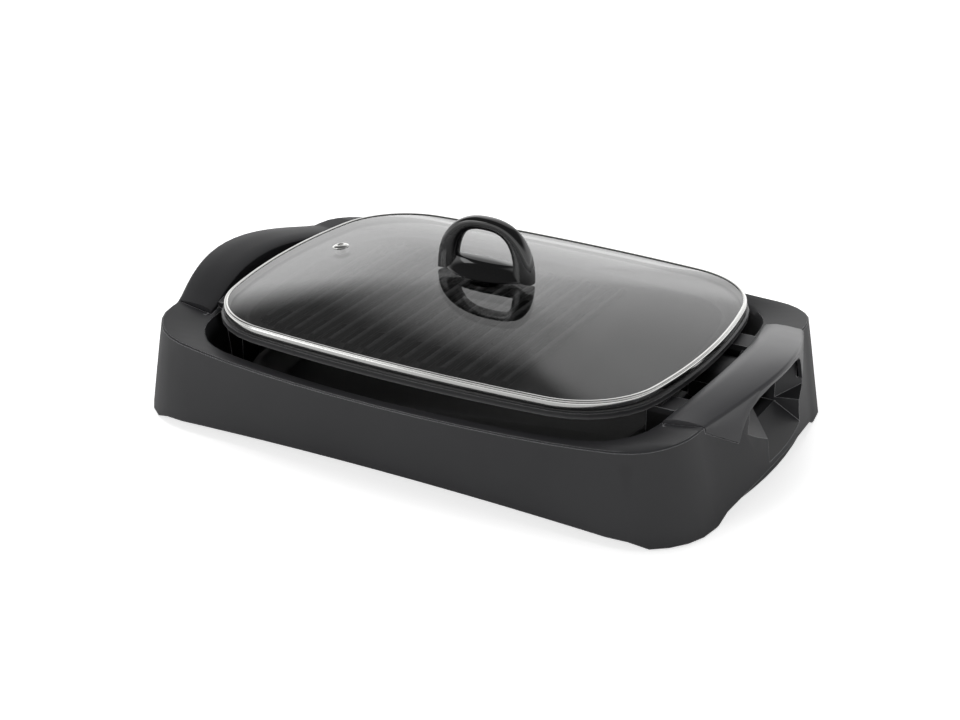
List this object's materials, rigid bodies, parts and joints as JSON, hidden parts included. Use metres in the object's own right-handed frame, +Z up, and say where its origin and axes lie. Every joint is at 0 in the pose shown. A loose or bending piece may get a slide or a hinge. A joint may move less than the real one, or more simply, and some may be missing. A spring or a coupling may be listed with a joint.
{
  "type": "electric indoor grill with glass lid",
  "caption": "Low tabletop electric grill: flared moulded base with arched handles, drip tray, ribbed and flat cast plate, and a domed glass lid with a loop knob.",
  "frame": {"origin": "on the worktop, under the middle of the base", "axes": "+Z up, +X along the length towards the end with the plug pocket, -Y the front long side"},
  "size_m": [0.5142, 0.3458, 0.1632],
  "materials": {
    "housing_plastic": "fine moulded texture, satin",
    "handle_plastic": "smooth moulded, semi-gloss",
    "zinc_steel": "zinc plated",
    "foot_rubber": "matt",
    "silicone": "matt",
    "tray_enamel": "black enamel",
    "coated_casting": "non-stick coating on cast aluminium",
    "element_steel": "heat darkened",
    "nickel_pin": "nickel plated",
    "ceramic": "unglazed ceramic",
    "guard_plastic": "heat-resistant moulding",
    "smoked_glass": "tempered, polished",
    "polished_steel": "bright rolled stainless",
    "knob_plastic": "high gloss phenolic"
  },
  "bodies": {
    "base": {"base_housing": "housing_plastic", "left_handle": "handle_plastic", "right_handle": "handle_plastic", "left_handle_screws": "zinc_steel", "right_handle_screws": "zinc_steel", "foot_front_left": "foot_rubber", "foot_front_right": "foot_rubber", "foot_rear_left": "foot_rubber", "foot_rear_right": "foot_rubber", "plate_rests": "silicone"},
    "tray": {"drip_tray": "tray_enamel"},
    "plate": {"grill_plate": "coated_casting", "heating_element": "element_steel", "terminal_pins": "nickel_pin", "pin_insulators": "ceramic", "probe_sleeve": "zinc_steel", "terminal_guard": "guard_plastic", "guard_screws": "zinc_steel"},
    "lid": {"lid_glass": "smoked_glass", "lid_rim": "polished_steel", "lid_knob": "knob_plastic", "knob_gasket": "silicone", "knob_washer": "silicone", "knob_screw": "zinc_steel", "steam_vent": "polished_steel"}
  },
  "joints": [
    {"name": "tray_lift", "type": "slide", "parent": "base", "child": "tray", "axis": [0, 0, 1], "range_m": [0, 0.1]},
    {"name": "plate_lift", "type": "slide", "parent": "tray", "child": "plate", "axis": [0, 0, 1], "range_m": [0, 0.12]},
    {"name": "lid_lift", "type": "slide", "parent": "plate", "child": "lid", "axis": [0, 0, 1], "range_m": [0, 0.15]}
  ]
}
